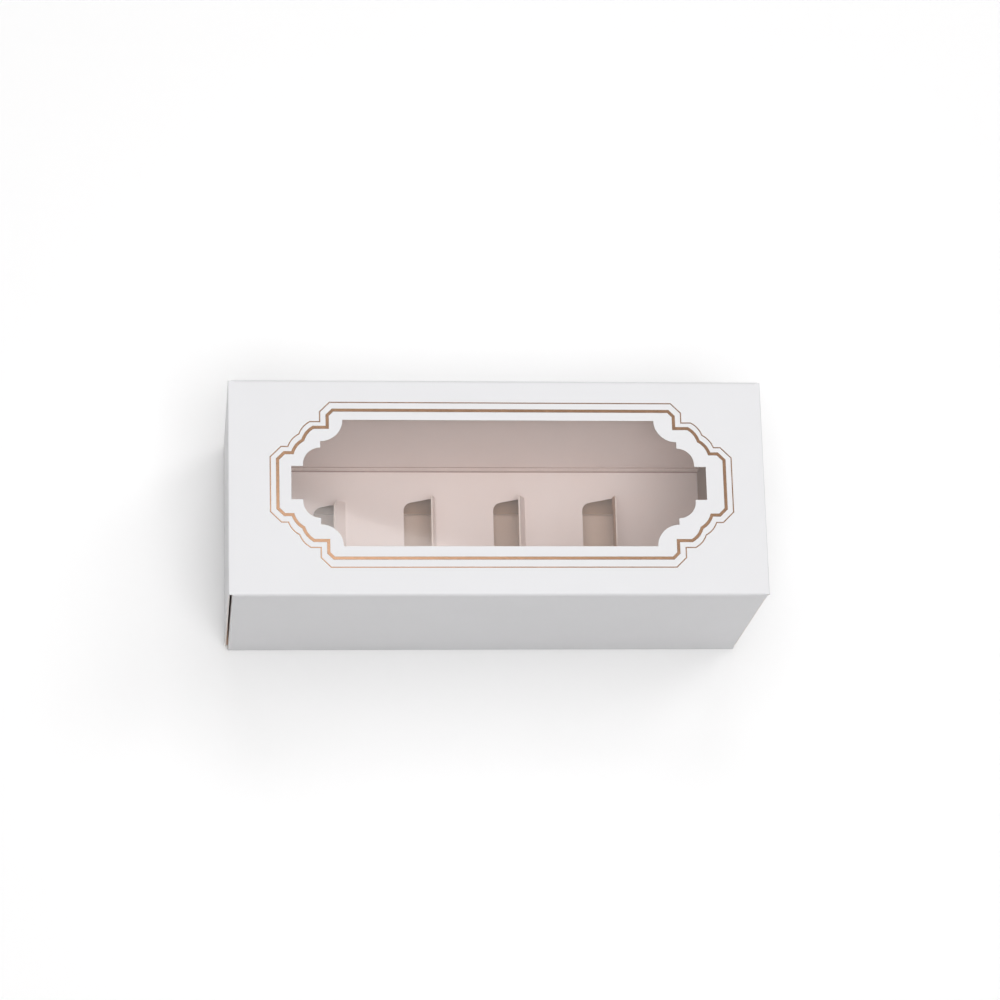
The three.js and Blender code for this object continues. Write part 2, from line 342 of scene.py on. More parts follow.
@dataclass(frozen=True)
class StampedFoil:
    """Gold foil stamped hot onto the board.

    The metal layer is a mirror that follows the board below it, so the eye gets a copper
    gold that is pale where it mirrors the light and brown where it mirrors the dark room.
    """

    name: str = "stamped_foil"
    gold: str = "#a9876e"
    roughness: Point2 = (0.08, 0.2)
    peel_mm: float = 1.6
    peel_depth_mm: float = 0.1

    def build(self) -> bpy.types.Material:
        """Makes the material.

        Returns:
            The material.
        """
        material, tree = new_material(self.name)
        place = add_node(tree, "ShaderNodeTexCoord").outputs["Object"]
        peel = add_node(
            tree,
            "ShaderNodeTexNoise",
            inputs={"Vector": place, "Scale": per_metre(self.peel_mm), "Detail": 2.0},
        ).outputs["Fac"]
        relief = add_node(
            tree,
            "ShaderNodeBump",
            inputs={"Height": peel, "Strength": 0.08, "Distance": self.peel_depth_mm * MM},
        )
        gloss = add_node(
            tree,
            "ShaderNodeMapRange",
            inputs={"Value": peel, "To Min": self.roughness[0], "To Max": self.roughness[1]},
        )
        shader = add_node(
            tree,
            "ShaderNodeBsdfPrincipled",
            inputs={
                "Base Color": linear(self.gold),
                "Metallic": 1.0,
                "Roughness": gloss.outputs["Result"],
                "Normal": relief.outputs["Normal"],
            },
        )
        add_node(tree, "ShaderNodeOutputMaterial", inputs={"Surface": shader.outputs["BSDF"]})
        return material


@dataclass(frozen=True)
class ClearFilm:
    """Clear PET window film, cast smooth.

    Nearly all light goes straight through, and a few percent is mirrored, so the eye gets
    only a thin sheen where a light stands over it.
    """

    name: str = "clear_film"
    tint: str = "#fdfdfd"
    roughness: float = 0.04
    ior: float = 1.64
    haze: float = 0.02

    def build(self) -> bpy.types.Material:
        """Makes the material.

        Returns:
            The material.
        """
        material, tree = new_material(self.name)
        clear = add_node(tree, "ShaderNodeBsdfTransparent", inputs={"Color": linear(self.tint)})
        veil = add_node(tree, "ShaderNodeBsdfDiffuse", inputs={"Color": linear(self.tint)})
        through = add_node(
            tree,
            "ShaderNodeMixShader",
            inputs={0: self.haze, 1: clear.outputs["BSDF"], 2: veil.outputs["BSDF"]},
        )
        sheen = add_node(
            tree,
            "ShaderNodeBsdfGlossy",
            inputs={"Color": linear(self.tint), "Roughness": self.roughness},
        )
        # The mirrored share grows with the fifth power of the slant
        slant = add_node(tree, "ShaderNodeLayerWeight", inputs={"Blend": 0.5})
        steep = add_node(
            tree,
            "ShaderNodeMath",
            {"operation": "POWER"},
            {0: slant.outputs["Facing"], 1: 5.0},
        )
        share = add_node(
            tree,
            "ShaderNodeMapRange",
            inputs={
                "Value": steep.outputs["Value"],
                "To Min": ((self.ior - 1) / (self.ior + 1)) ** 2,
                "To Max": 1.0,
            },
        )
        both = add_node(
            tree,
            "ShaderNodeMixShader",
            inputs={0: share.outputs["Result"], 1: through.outputs["Shader"], 2: sheen.outputs["BSDF"]},
        )
        add_node(tree, "ShaderNodeOutputMaterial", inputs={"Surface": both.outputs["Shader"]})
        return material


@dataclass(frozen=True)
class StudioPaper:
    """Seamless white background paper, matt and even."""

    name: str = "studio_paper"
    white: str = "#fafafa"
    roughness: float = 0.9

    def build(self) -> bpy.types.Material:
        """Makes the material.

        Returns:
            The material.
        """
        material, tree = new_material(self.name)
        shader = add_node(
            tree,
            "ShaderNodeBsdfPrincipled",
            inputs={"Base Color": linear(self.white), "Roughness": self.roughness},
        )
        add_node(tree, "ShaderNodeOutputMaterial", inputs={"Surface": shader.outputs["BSDF"]})
        return material


@dataclass
class Finishes:
    """The materials that the sub-assemblies share, a sheet's in the order of SheetSide."""

    board: bpy.types.Material
    carton_sheet: list[bpy.types.Material]
    insert_sheet: list[bpy.types.Material]
    foil: bpy.types.Material
    film: bpy.types.Material

    @classmethod
    def build(cls) -> "Finishes":
        """Makes each finish once.

        Returns:
            The finishes.
        """
        board = CoatedBoard().build()
        return cls(
            board=board,
            carton_sheet=[
                board,
                UncoatedBoard("carton_reverse", "#f2d8c6", "#ecceb9").build(),
                UncoatedBoard("carton_cut_edge", "#eeeae6", "#e2dcd6", roughness=0.9).build(),
            ],
            insert_sheet=[
                UncoatedBoard("insert_board", "#fdf1ed", "#fbede8").build(),
                UncoatedBoard("insert_reverse", "#c8a78f", "#be9a80").build(),
                UncoatedBoard("insert_cut_edge", "#fbeee6", "#f7e6dc", roughness=0.9).build(),
                # The score colour is darker partly from crushed fibres and partly as painted shade in the
                # crease grooves
                UncoatedBoard("insert_score_shade", "#c4a8a0", "#b89a92", roughness=0.9).build(),
            ],
            foil=StampedFoil().build(),
            film=ClearFilm().build(),
        )


def arc(centre: Point2, radius: float, start: float, end: float, steps: int) -> list[Point2]:
    """Gives the points of an arc.

    Args:
        centre: The centre.
        radius: The radius.
        start: The first angle, in degrees.
        end: The last angle, in degrees.
        steps: The number of pieces that it is cut into.

    Returns:
        The points, both ends included.
    """
    turns = [math.radians(start + (end - start) * i / steps) for i in range(steps + 1)]
    return [(centre[0] + radius * math.cos(t), centre[1] + radius * math.sin(t)) for t in turns]


def round_corners(path: Sequence[Point2], radius: float, steps: int) -> list[Point2]:
    """Turns each corner between a path's two ends into an arc.

    Args:
        path: The path's points.
        radius: The radius of each arc.
        steps: The number of pieces that each arc is cut into.

    Returns:
        The rounded path.
    """
    rounded = [path[0]]
    for before, corner, after in zip(path, path[1:], path[2:]):
        here = Vector(corner)
        back = (Vector(before) - here).normalized()
        onward = (Vector(after) - here).normalized()
        half = back.angle(onward) / 2
        centre = here + (back + onward).normalized() * radius / math.sin(half)
        start = here + back * radius / math.tan(half) - centre
        end = here + onward * radius / math.tan(half) - centre
        first, last = math.atan2(start.y, start.x), math.atan2(end.y, end.x)
        turn = (last - first + math.pi) % (2 * math.pi) - math.pi
        rounded += arc(
            (centre.x, centre.y), radius, math.degrees(first), math.degrees(first + turn), steps
        )
    return [*rounded, path[-1]]


def score_corners(
    path: Sequence[Point2], scored: Sequence[int], half_width: float, depth: float
) -> list[Point2]:
    """Presses the groove of a creasing rule into some corners of a path.

    Args:
        path: The path's points.
        scored: The places in the path of the corners that get a groove.
        half_width: How far the groove reaches to both sides.
        depth: How deep it is, to the path's right.

    Returns:
        The path with its grooves.
    """
    pressed = []
    for i, point in enumerate(path):
        if i not in scored:
            pressed.append(point)
            continue
        here = Vector(point)
        back = (Vector(path[i - 1]) - here).normalized()
        onward = (Vector(path[i + 1]) - here).normalized()
        down = Vector((onward.y - back.y, back.x - onward.x)).normalized()
        corners = [here + back * half_width, here + down * depth, here + onward * half_width]
        pressed += [(corner.x, corner.y) for corner in corners]
    return pressed


def beside(path: Sequence[Point2], distance: float, closed: bool = False) -> list[Point2]:
    """Gives the line beside a path, with mitred corners.

    Args:
        path: The path's points.
        distance: How far to the path's left it runs.
        closed: Whether the path is a loop.

    Returns:
        The points of the line.
    """
    shifted = []
    count = len(path)
    for i, point in enumerate(path):
        before = Vector(point) - Vector(path[i - 1]) if closed or i > 0 else None
        after = Vector(path[(i + 1) % count]) - Vector(point) if closed or i < count - 1 else None
        first = (before if before is not None else after).normalized()
        second = (after if after is not None else before).normalized()
        normal = Vector((-first.y - second.y, first.x + second.x)).normalized()
        mitre = distance / normal.dot(Vector((-first.y, first.x)))
        shifted.append((point[0] + normal.x * mitre, point[1] + normal.y * mitre))
    return shifted


def mirrored_loop(quadrant: Sequence[Point2], centre: Point2) -> list[Point2]:
    """Mirrors a quarter of an outline to the whole one, which runs counter-clockwise.

    Args:
        quadrant: The points from the top edge to the right side.
        centre: The outline's centre.

    Returns:
        The closed outline's points.
    """
    turns = [((1, 1), False), ((1, -1), True), ((-1, -1), False), ((-1, 1), True)]
    loop = [
        (centre[0] + sx * x, centre[1] + sy * y)
        for (sx, sy), back in turns
        for x, y in (reversed(quadrant) if back else quadrant)
    ]
    return loop[::-1]


@dataclass
class Sheet:
    """The face of a folded sheet in millimetres, which gets its thickness at the end."""

    vertices: list[Point3] = field(default_factory=list)
    faces: list[tuple[int, ...]] = field(default_factory=list)
    slots: list[int] = field(default_factory=list)

    def panel(
        self, outline: Sequence[Point3], facing: Point3, holes: Sequence[Sequence[Point3]] = ()
    ) -> None:
        """Adds a flat panel.

        Args:
            outline: The corners round its edge.
            facing: Roughly where its face looks.
            holes: The outlines of its openings.
        """
        first = len(self.vertices)
        loops = [outline, *holes]
        points = [p for loop in loops for p in loop]
        self.vertices += points
        if not holes:
            self._face(range(first, first + len(points)), facing)
            return
        for triangle in tessellate_polygon([[Vector(p) for p in loop] for loop in loops]):
            self._face([first + i for i in triangle], facing)

    def bend(
        self,
        rows: Sequence[Sequence[Point3]],
        facings: Sequence[Point3],
        scored: Sequence[int] = (),
    ) -> None:
        """Adds the faces between rows of points.

        Args:
            rows: The rows, each with as many points.
            facings: Roughly where the faces after each row look.
            scored: The rows after which the board is crushed by a creasing rule; their faces take the darker
                score colour, partly crushed fibres and partly painted shade in the crease.
        """
        first = len(self.vertices)
        width = len(rows[0])
        self.vertices += [p for row in rows for p in row]
        for i in range(len(rows) - 1):
            for j in range(width - 1):
                a = first + i * width + j
                self._face((a, a + 1, a + 1 + width, a + width), facings[i], i in scored)

    def _face(self, corners: Sequence[int], facing: Point3, scored: bool = False) -> None:
        """Adds a face, turned over where it looks the wrong way.

        Args:
            corners: Its corners' places among the sheet's points.
            facing: Roughly where it looks.
            scored: Whether a creasing rule has crushed it, so that it takes the darker score colour, partly
                crushed fibres and partly painted shade.
        """
        corners = tuple(corners)
        points = [Vector(self.vertices[i]) for i in corners]
        normal = Vector((0.0, 0.0, 0.0))
        for here, following in zip(points, points[1:] + points[:1]):
            normal += here.cross(following)
        self.faces.append(corners if normal.dot(Vector(facing)) > 0 else corners[::-1])
        self.slots.append(SheetSide.SCORE_SHADE if scored else SheetSide.FACE)

    def build(self, name: str, sides: Sequence[bpy.types.Material]) -> bpy.types.Object:
        """Makes the sheet's object, as thick as the board and smooth across its soft bends.

        Args:
            name: The object's name.
            sides: The material of each of its sides, in the order of SheetSide.

        Returns:
            The object, linked to the scene.
        """
        mesh = bpy.data.meshes.new(name)
        mesh.from_pydata([tuple(c * MM for c in v) for v in self.vertices], [], self.faces)
        for side in sides:
            mesh.materials.append(side)
        mesh.polygons.foreach_set("material_index", self.slots)
        shape = bmesh.new()
        shape.from_mesh(mesh)
        bmesh.ops.remove_doubles(shape, verts=shape.verts, dist=WELD * MM)
        bmesh.ops.dissolve_degenerate(shape, edges=shape.edges, dist=WELD * MM)
        shape.to_mesh(mesh)
        shape.free()
        piece = bpy.data.objects.new(name, mesh)
        bpy.context.scene.collection.objects.link(piece)
        solidify = piece.modifiers.new("thickness", "SOLIDIFY")
        solidify.thickness = BOARD * MM
        solidify.offset = -1
        solidify.use_even_offset = True
        solidify.material_offset = SheetSide.REVERSE
        solidify.material_offset_rim = SheetSide.CUT_EDGE
        thick = piece.evaluated_get(bpy.context.evaluated_depsgraph_get())
        piece.data = bpy.data.meshes.new_from_object(thick)
        piece.modifiers.clear()
        piece.data.shade_smooth()
        piece.data.set_sharp_from_angle(angle=math.radians(SHEET_SHARP_ANGLE))
        piece.modifiers.new("even_panels", "WEIGHTED_NORMAL").keep_sharp = True
        return piece


def surface_object(
    name: str,
    vertices: Sequence[Point3],
    faces: Sequence[Sequence[int]],
    material: bpy.types.Material,
) -> bpy.types.Object:
    """Makes an object from a surface, whose faces are turned outwards.

    Args:
        name: The object's name.
        vertices: The points, in millimetres.
        faces: The corners of each face.
        material: Its material.

    Returns:
        The object, linked to the scene.
    """
    mesh = bpy.data.meshes.new(name)
    mesh.from_pydata([tuple(c * MM for c in v) for v in vertices], [], [tuple(f) for f in faces])
    shape = bmesh.new()
    shape.from_mesh(mesh)
    bmesh.ops.recalc_face_normals(shape, faces=shape.faces)
    shape.to_mesh(mesh)
    shape.free()
    mesh.materials.append(material)
    mesh.shade_smooth()
    mesh.set_sharp_from_angle(angle=math.radians(SOLID_SHARP_ANGLE))
    made = bpy.data.objects.new(name, mesh)
    bpy.context.scene.collection.objects.link(made)
    return made


@dataclass(frozen=True)
class Window:
    """The shaped opening in the top panel."""

    centre: Point2 = (0.6, 1.45)
    half_length: float = 69.65
    half_depth: float = 21.95
    scallop_radius: float = 7.5
    step_drop: float = 2.25
    shoulder_radius: float = 5.8
    shoulder_lip: float = 0.6
    ear_length: float = 3.9
    arc_steps: int = 20

    def loop(self) -> list[Point2]:
        """Gives the opening's outline.

        Returns:
            The closed outline's points.
        """
        shoulder_x = self.half_length - self.ear_length
        step_x = shoulder_x - self.shoulder_radius
        step_y = self.half_depth - self.scallop_radius - self.step_drop
        shoulder_y = step_y - self.shoulder_radius
        quadrant = [
            *arc((step_x, self.half_depth), self.scallop_radius, 180, 270, self.arc_steps),
            *arc((step_x, shoulder_y), self.shoulder_radius, 90, 0, self.arc_steps),
            (shoulder_x, shoulder_y - self.shoulder_lip),
            (self.half_length, shoulder_y - self.shoulder_lip),
        ]
        return mirrored_loop(quadrant, self.centre)


@dataclass(frozen=True)
class FoilLine:
    """A foil line stamped round the window, flat on the board and thin at its two edges."""

    name: str
    node: str
    width: float
    half_length: float
    half_depth: float
    corner_cut: float
    drop: float
    run: float
    sweep: Point2
    ear_run: float
    ear_cut: float
    centre: Point2
    bulge: float = 0.55
    shoulder: float = 0.04
    rise: float = 0.05
    sink: float = 0.02
    sweep_steps: int = 10

    def loop(self) -> list[Point2]:
        """Gives the middle of the line.

        Returns:
            The closed line's points.
        """
        ear_x = self.half_length - self.ear_cut
        sweep_end_x = ear_x - self.ear_run
        sweep_start_x = sweep_end_x - self.sweep[0]
        drop_x = sweep_start_x - self.run
        drop_y = self.half_depth - self.corner_cut
        sweep_start_y = drop_y - self.drop
        sweep_end_y = sweep_start_y - self.sweep[1]
        quadrant = [
            (drop_x - self.corner_cut, self.half_depth),
            (drop_x, drop_y),
            (drop_x, sweep_start_y),
            *self._cusped_sweep((sweep_start_x, sweep_start_y), (sweep_end_x, sweep_end_y)),
            (ear_x, sweep_end_y),
            (self.half_length, sweep_end_y - self.ear_cut),
        ]
        return mirrored_loop(quadrant, self.centre)

    def _cusped_sweep(self, start: Point2, end: Point2) -> list[Point2]:
        """Gives two shallow arcs that meet in a cusp.

        Args:
            start: Where the first arc starts.
            end: Where the second arc ends.

        Returns:
            Their points.
        """
        middle = ((start[0] + end[0]) / 2, (start[1] + end[1]) / 2)
        points = []
        for near, far in ((start, middle), (middle, end)):
            chord = Vector(far) - Vector(near)
            outward = Vector((-chord.y, chord.x)).normalized()
            for k in range(self.sweep_steps):
                share = k / self.sweep_steps
                at = Vector(near) + chord * share + outward * 4 * self.bulge * share * (1 - share)
                points.append((at.x, at.y))
        return [*points, end]

    def build(self, finishes: Finishes) -> bpy.types.Object:
        """Makes the line.

        Args:
            finishes: The shared materials.

        Returns:
            The line, which stands for its flat node.
        """
        half = self.width / 2
        flat = half - self.shoulder
        low = self.rise - self.shoulder
        left_side = [(-half, -self.sink), (-half, low), (-flat, self.rise)]
        profile = [*left_side, *((-across, up) for across, up in reversed(left_side))]
        loop = self.loop()
        count = len(loop)
        points = [
            (x, y, BOX_HEIGHT + up)
            for across, up in profile
            for x, y in beside(loop, across, closed=True)
        ]
        rings = range(0, len(points), count)
        faces = [
            (here + i, here + (i + 1) % count, there + (i + 1) % count, there + i)
            for here, there in zip(rings, [*rings[1:], rings[0]])
            for i in range(count)
        ]
        line = surface_object(self.name, points, faces, finishes.foil)
        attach(line, Body.CARTON.value)
        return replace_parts(line, self.node)


@dataclass(frozen=True)
class Sleeve:
    """The four panels of the carton with the dust flaps at their ends, one folded sheet."""

    window: Window = Window()
    left_gap: float = 0.7
    crease_radius: float = 1.2
    fold_radius: float = 0.8
    flap_reach: float = 24.0
    flap_bottom: float = 5.0
    flap_top: float = 71.0
    flap_taper: float = 6.0
    flap_corner: float = 4.0
    arc_steps: int = 8

    def reach(self, end: End) -> float:
        """Gives how far the sleeve reaches from its middle towards an end."""
        gap = self.left_gap if end is End.LEFT else FREE_GAP
        return HALF_LENGTH - BOARD - gap

    def build(self, finishes: Finishes) -> bpy.types.Object:
        """Makes the sleeve.

        Args:
            finishes: The shared materials.

        Returns:
            The sleeve, which stands for its plain node.
        """
        sheet = Sheet()
        self._top_and_bottom(sheet)
        for side in (-1, 1):
            self._side(sheet, side)
            for end in End:
                self._dust_flap(sheet, side, end)
        sleeve = sheet.build("sleeve_board", finishes.carton_sheet)
        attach(sleeve, Body.CARTON.value)
        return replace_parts(sleeve, "sleeve")

    def _columns(self) -> list[float]:
        """Gives the X of each line across the panels, with the ends' folds among them."""
        left, right = self.reach(End.LEFT), self.reach(End.RIGHT)
        return [-left, self.fold_radius - left, right - self.fold_radius, right]

    def _top_and_bottom(self, sheet: Sheet) -> None:
        """Adds the top panel with its window, and the bottom panel.

        Args:
            sheet: The sheet that they go in.
        """
        flat = HALF_DEPTH - self.crease_radius
        columns = self._columns()
        outline = [(x, -flat, BOX_HEIGHT) for x in columns]
        outline += [(x, flat, BOX_HEIGHT) for x in reversed(columns)]
        hole = [(x, y, BOX_HEIGHT) for x, y in self.window.loop()]
        sheet.panel(outline, (0, 0, 1), [hole])
        rows = [[(x, y, 0.0) for x in columns] for y in (-flat, flat)]
        sheet.bend(rows, [(0, 0, -1)])

    def _side(self, sheet: Sheet, side: int) -> None:
        """Adds the front or back panel, and the creases above and below it.

        Args:
            sheet: The sheet that it goes in.
            side: The sign of its Y.
        """
        radius = self.crease_radius
        columns = self._columns()
        low = arc((HALF_DEPTH - radius, radius), radius, -90, 0, self.arc_steps)
        high = arc((HALF_DEPTH - radius, BOX_HEIGHT - radius), radius, 0, 90, self.arc_steps)
        for path, facing in ((low, (0, side, -1)), (high, (0, side, 1))):
            rows = [[(x, side * y, z) for x in columns] for y, z in path]
            sheet.bend(rows, [facing] * self.arc_steps)
        levels = [radius, self.flap_bottom, self.flap_top, BOX_HEIGHT - radius]
        for foot, head in zip(levels, levels[1:]):
            # Beside the dust flaps their folds take the panel's ends
            across = columns[1:-1] if foot == self.flap_bottom else columns
            rows = [[(x, side * HALF_DEPTH, z) for x in across] for z in (foot, head)]
            sheet.bend(rows, [(0, side, 0)])

    def _dust_flap(self, sheet: Sheet, side: int, end: End) -> None:
        """Adds a dust flap and the fold that it hangs on.

        Args:
            sheet: The sheet that it goes in.
            side: The sign of the Y of the panel that it belongs to.
            end: The end that it closes.
        """
        radius = self.fold_radius
        sign, reach = end.value, self.reach(end)
        centre = (reach - radius, HALF_DEPTH - radius)
        fold = arc(centre, radius, 90, 0, self.arc_steps)
        rows = [
            [(sign * x, side * y, z) for z in (self.flap_bottom, self.flap_top)] for x, y in fold
        ]
        sheet.bend(rows, [(sign, side, 0)] * self.arc_steps)
        free = HALF_DEPTH - BOARD - self.flap_reach
        path = round_corners(
            [
                (centre[1], self.flap_bottom),
                (free, self.flap_bottom + self.flap_taper),
                (free, self.flap_top - self.flap_taper),
                (centre[1], self.flap_top),
            ],
            self.flap_corner,
            self.arc_steps,
        )
        sheet.panel([(sign * reach, side * y, z) for y, z in path], (sign, 0, 0))


@dataclass(frozen=True)
class Closure:
    """An end closure with its tuck flap, and the soft crease that joins it to the top panel."""

    end: End
    body: Body
    node: str
    gap: float = FREE_GAP
    half_width: float = 37.0
    ease: Point2 = (0.8, 5.0)
    floor_gap: float = 0.8
    fold_radius: float = 0.5
    flap_length: float = 11.0
    flap_slope: float = 6.8
    flap_half_width: float = 35.6
    flap_corner: float = 6.0
    crease_radius: float = 0.4
    crease_lap: float = 0.7
    # How far the strip bulges above the top panel and dips below the closure's face
    crease_lift: float = 0.012
    # How far past its fold the strip begins to follow one board alone
    crease_margin: float = 0.1
    arc_steps: int = 8

    def build(self, finishes: Finishes) -> list[bpy.types.Object]:
        """Makes the closure and its crease.

        Args:
            finishes: The shared materials.

        Returns:
            Both pieces.
        """
        return [self._board(finishes), self._crease(finishes)]

    def _place(self, x: float, y: float, z: float) -> Point3:
        """Moves a point from the hinge's frame, for a left closure, to this closure."""
        sign = self.end.value
        return (sign * (HALF_LENGTH - BOARD - x), -sign * y, BOX_HEIGHT - BOARD + z)

    def _board(self, finishes: Finishes) -> bpy.types.Object:
        """Makes the panel and its tuck flap, one sheet folded along the lower edge.

        Args:
            finishes: The shared materials.

        Returns:
            The board, which stands for its plain node.
        """
        foot = -(BOX_HEIGHT - BOARD - self.floor_gap - BOARD / 2)
        slope = math.radians(self.flap_slope)
        middle = -BOARD / 2
        path = [
            (middle, -FREE_GAP),
            (middle, foot),
            (middle + self.flap_length, foot + self.flap_length * math.tan(slope)),
        ]
        outer = beside(round_corners(path, self.fold_radius, self.arc_steps), -BOARD / 2)
        sign = self.end.value
        sheet = Sheet()
        half = self.flap_half_width
        eased = self.half_width - self.ease[0]
        top, shoulder, bottom = outer[0][1], -self.ease[1], outer[1][1]
        right_side = [(self.half_width, top), (eased, shoulder), (eased, bottom), (half, bottom)]
        left_side = [(-y, z) for y, z in reversed(right_side)]
        face = [self._place(outer[0][0], y, z) for y, z in [*right_side, *left_side]]
        sheet.panel(face, (sign, 0, 0))
        fold = outer[1:-1]
        rows = [[self._place(x, y, z) for y in (-half, half)] for x, z in fold]
        sheet.bend(rows, [(sign, 0, -1)] * (len(fold) - 1))
        start, tip = Vector(fold[-1]), Vector(outer[-1])
        length = (tip - start).length
        along = (tip - start).normalized()
        plan = round_corners(
            [(0.0, -half), (length, -half), (length, half), (0.0, half)],
            self.flap_corner,
            self.arc_steps,
        )
        flap = [self._place(start.x + along.x * s, y, start.y + along.y * s) for s, y in plan]
        sheet.panel(flap, (0, 0, -1))
        piece = sheet.build(f"{self.node}_board", finishes.carton_sheet)
        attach(piece, self.body.value)
        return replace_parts(piece, self.node)

    def _crease(self, finishes: Finishes) -> bpy.types.Object:
        """Makes the strip of board that bends between the top panel and the closure.

        Args:
            finishes: The shared materials.

        Returns:
            The strip.
        """
        sign = self.end.value
        centre = (HALF_LENGTH - BOARD - FREE_GAP, BOX_HEIGHT - BOARD - FREE_GAP)
        radius = self.crease_radius
        corner = (HALF_LENGTH - radius - self.crease_lift, BOX_HEIGHT - radius)
        outer = arc(corner, radius + self.crease_lift, 90, 0, self.arc_steps)
        inner = arc(centre, FREE_GAP, 0, 90, self.arc_steps)
        lap = centre[1] - self.crease_lap
        start = centre[0] + FREE_GAP - self.gap - self.crease_lap
        ring = [
            (start, BOX_HEIGHT - BOARD / 2),
            (start, BOX_HEIGHT),
            *outer,
            (HALF_LENGTH - self.crease_lift, lap),
            (HALF_LENGTH - BOARD / 2, lap),
            *inner,
        ]
        ends = [[(sign * x, y, z) for x, z in ring] for y in (-self.half_width, self.half_width)]
        count = len(ring)
        faces: list[Sequence[int]] = [
            (i, (i + 1) % count, count + (i + 1) % count, count + i) for i in range(count)
        ]
        faces += [range(count), range(count, 2 * count)]
        name = f"{self.body.value}_crease"
        strip = surface_object(name, [*ends[0], *ends[1]], faces, finishes.board)
        still = (sign * (centre[0] - self.crease_margin) * MM, 0, BOX_HEIGHT * MM)
        moving = (sign * HALF_LENGTH * MM, 0, (centre[1] - self.crease_margin) * MM)
        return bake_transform(strip, Body.CARTON.value, self.body.value, still, moving)


@dataclass(frozen=True)
class Tab:
    """A tab cut from the insert's base and bent up."""

    hinge: float
    half_width: float
    lean: float
    height: float = 11.2
    taper: float = 2.2
    corner: float = 3.0
    fold_radius: float = 0.35
    arc_steps: int = 6

    @property
    def fold_reach(self) -> float:
        """How far the fold's bend reaches from the hinge line."""
        return self.fold_radius * math.tan(math.radians(90 - self.lean) / 2)

    def _plan(self, root: float, tip: float) -> list[Point2]:
        """Gives the outline of the tab, laid flat.

        Args:
            root: Where its wide end is.
            tip: Where its narrow end is.

        Returns:
            The outline's points.
        """
        half, narrow = self.half_width, self.half_width - self.taper
        corners = [(root, half), (tip, narrow), (tip, -narrow), (root, -half)]
        return round_corners(corners, self.corner, self.arc_steps)

    def opening(self, level: float) -> list[Point3]:
        """Gives the outline that the tab leaves open.

        Args:
            level: The height of the base's face.

        Returns:
            The outline's points.
        """
        root = self.hinge + self.fold_reach
        plan = self._plan(self.hinge, self.hinge - self.height)
        return [(x, y, level) for x, y in [(root, self.half_width), *plan, (root, -self.half_width)]]

    def add_to(self, sheet: Sheet, level: float) -> None:
        """Adds the tab and its fold to the insert's sheet.

        Args:
            sheet: The sheet.
            level: The height of the base's face.
        """
        lean = math.radians(self.lean)
        rise = Vector((-math.sin(lean), math.cos(lean)))
        bend = round_corners(
            [(1.0, 0.0), (0.0, 0.0), (rise.x, rise.y)], self.fold_radius, self.arc_steps
        )[1:-1]
        rows = [
            [(self.hinge + x, y, level + z) for y in (-self.half_width, self.half_width)]
            for x, z in bend
        ]
        sheet.bend(rows, [(1, 0, 1)] * (len(bend) - 1))
        plan = self._plan(self.fold_reach, self.height)
        face = [(self.hinge + rise.x * s, y, level + rise.y * s) for s, y in plan]
        sheet.panel(face, (1, 0, 0))


@dataclass(frozen=True)
class Insert:
    """The folded trough that holds the macarons, one sheet with four tabs in its base."""

    length: float = 156.0
    base_top: float = 8.5
    base_half_width: float = 25.8
    riser_height: float = 5.0
    knee: Point2 = (0.2, 9.0)
    knee_radius: float = 37.0
    top_ledge: float = 1.45
    foot_reach: float = 25.0
    foot_spring: float = 1.1
    bend_radius: float = 0.7
    score_half_width: float = 0.38
    score_depth: float = 0.3
    # The section's stretches that lie in the two grooves, which take the darker score colour: partly crushed
    # fibres, partly painted shade in the crease
    scored: tuple[int, ...] = (0, 1, 3, 4)
    side_gap: float = 0.3
    film_thickness: float = 0.2
    tab_pitch: float = 31.7
    tab_widths: tuple[float, ...] = (14.0, 15.8, 15.8, 15.8)
    tab_leans: tuple[float, ...] = (22.0, 9.5, 14.5, 2.0)
    arc_steps: int = 6

    def tabs(self) -> list[Tab]:
        """Gives the tabs from left to right."""
        middle = (len(self.tab_leans) - 1) / 2
        return [
            Tab((i - middle) * self.tab_pitch, width, lean)
            for i, (width, lean) in enumerate(zip(self.tab_widths, self.tab_leans))
        ]

    def _section(self) -> list[Point2]:
        """Gives the face of the folded section, seen along the box.

        Returns:
            The points from the base's middle to the end of a foot.
        """
        base = self.base_top - BOARD / 2
        leg = HALF_DEPTH - BOARD - self.side_gap - BOARD / 2
        foot = BOARD + FREE_GAP + BOARD / 2
        top = BOX_HEIGHT - BOARD - self.film_thickness - 2 * FREE_GAP - BOARD / 2
        path = [
            (0.0, base),
            (self.base_half_width, base),
            (self.base_half_width, base + self.riser_height),
            (self.base_half_width + self.knee[0], base + self.knee[1]),
            (leg - self.top_ledge, top),
            (leg, top),
            (leg, foot),
            (leg - self.foot_reach, foot + self.foot_spring),
        ]
        face = beside(path, BOARD / 2)
        scored = score_corners(face[:4], (1, 2), self.score_half_width, self.score_depth)
        wall = round_corners(face[2:5], self.knee_radius, self.arc_steps)
        folds = round_corners(face[3:], self.bend_radius, self.arc_steps)
        return [*scored[:-1], *wall[1:-1], *folds[1:]]

    def build(self, finishes: Finishes) -> bpy.types.Object:
        """Makes the insert.

        Args:
            finishes: The shared materials.

        Returns:
            The insert, which stands for its plain node.
        """
        sheet = Sheet()
        section = self._section()
        half = self.length / 2
        flat = section[1][0]
        tabs = self.tabs()
        corners = [(-half, -flat), (half, -flat), (half, flat), (-half, flat)]
        outline = [(x, y, self.base_top) for x, y in corners]
        sheet.panel(outline, (0, 0, 1), [tab.opening(self.base_top) for tab in tabs])
        for tab in tabs:
            tab.add_to(sheet, self.base_top)
        for side in (-1, 1):
            rows = [[(x, side * y, z) for x in (-half, half)] for y, z in section[1:]]
            facings = [
                (0.0, -side * (after[1] - before[1]), after[0] - before[0])
                for before, after in zip(section[1:], section[2:])
            ]
            sheet.bend(rows, facings, self.scored)
        insert = sheet.build("insert_board", finishes.insert_sheet)
        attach(insert, Body.CARTON.value)
        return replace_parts(insert, "insert")


